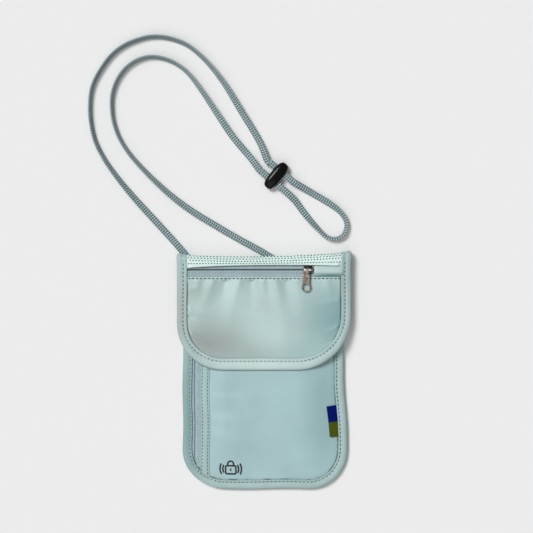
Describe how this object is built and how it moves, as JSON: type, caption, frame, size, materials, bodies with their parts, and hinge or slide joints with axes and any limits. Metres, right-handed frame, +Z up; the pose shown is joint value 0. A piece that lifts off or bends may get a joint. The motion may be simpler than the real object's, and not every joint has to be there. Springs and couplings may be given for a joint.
{
  "type": "neck pouch wallet",
  "caption": "Flat fabric neck pouch with a fold-over zipped flap, a zipped front pocket, bound edges and a flat neck cord with a sliding cord lock.",
  "frame": {"origin": "middle of the resting face of the pouch as it lies on its back, without its cord", "axes": "+X across the pouch to its right, +Y from the bottom hem to the top fold, +Z up out of the front of the pouch"},
  "size_m": [0.2208, 0.3811, 0.0158],
  "materials": {
    "panel_fabric": "satin polyester",
    "flap_fabric": "satin polyester",
    "light_fabric": "matt polyester",
    "binding_tape": "twill tape",
    "lining_film": "metallised film on cloth",
    "zip_tape": "woven tape",
    "zip_coil": "nylon coil",
    "zip_metal": "dark nickel",
    "hook_and_loop": "hook and loop",
    "label_navy": "woven ribbon",
    "label_olive": "woven ribbon",
    "cord_braid": "flat braid",
    "lock_plastic": "gloss"
  },
  "bodies": {
    "pouch": {"back_panel": "panel_fabric", "rfid_lining": "lining_film", "pocket_divider": "panel_fabric", "front_panel": "panel_fabric", "side_zip_facing": "light_fabric", "side_zip_tape_left": "zip_tape", "side_zip_tape_right": "zip_tape", "side_zip_coil_left": "zip_coil", "side_zip_coil_right": "zip_coil", "body_binding": "binding_tape", "tab_label_navy": "label_navy", "tab_label_olive": "label_olive", "loop_patch": "hook_and_loop", "flap_fold": "binding_tape", "neck_cord": "cord_braid", "cord_tail_left": "cord_braid", "cord_tail_right": "cord_braid"},
    "flap": {"flap_lining": "panel_fabric", "flap_lower_panel": "flap_fabric", "flap_top_band": "light_fabric", "flap_binding": "binding_tape", "flap_zip_tape_upper": "zip_tape", "flap_zip_tape_lower": "zip_tape", "flap_zip_coil_upper": "zip_coil", "flap_zip_coil_lower": "zip_coil", "flap_zip_garage": "flap_fabric", "hook_patch": "hook_and_loop"},
    "flap_slider": {"flap_zip_slider": "zip_metal"},
    "flap_pull": {"flap_zip_pull": "zip_metal"},
    "side_slider": {"side_zip_slider": "zip_metal"},
    "side_pull": {"side_zip_pull": "zip_metal"},
    "cord_lock": {"cord_lock": "lock_plastic"}
  },
  "joints": [
    {"name": "flap_hinge", "type": "hinge", "parent": "pouch", "child": "flap", "pos_m": [0, 0.0985, 0.0071], "axis": [-1, 0, 0], "range_deg": [0, 150], "deforming": ["flap_fold"]},
    {"name": "flap_zip_slide", "type": "slide", "parent": "flap", "child": "flap_slider", "axis": [-1, 0, 0], "range_m": [0, 0.093]},
    {"name": "flap_pull_swing", "type": "hinge", "parent": "flap_slider", "child": "flap_pull", "pos_m": [0.0367, 0.085, 0.01435], "axis": [-1, 0, 0], "range_deg": [0, 150]},
    {"name": "side_zip_slide", "type": "slide", "parent": "pouch", "child": "side_slider", "axis": [0, -1, 0], "range_m": [0, 0.125]},
    {"name": "side_pull_swivel", "type": "hinge", "parent": "side_slider", "child": "side_pull", "pos_m": [-0.0576, 0.0586, 0.0061], "axis": [0, 0, 1], "range_deg": [-30, 3]},
    {"name": "cord_lock_slide", "type": "slide", "parent": "pouch", "child": "cord_lock", "axis": [0.7705, -0.6374, 0], "range_m": [-0.006, 0.006], "deforming": ["neck_cord"]}
  ]
}
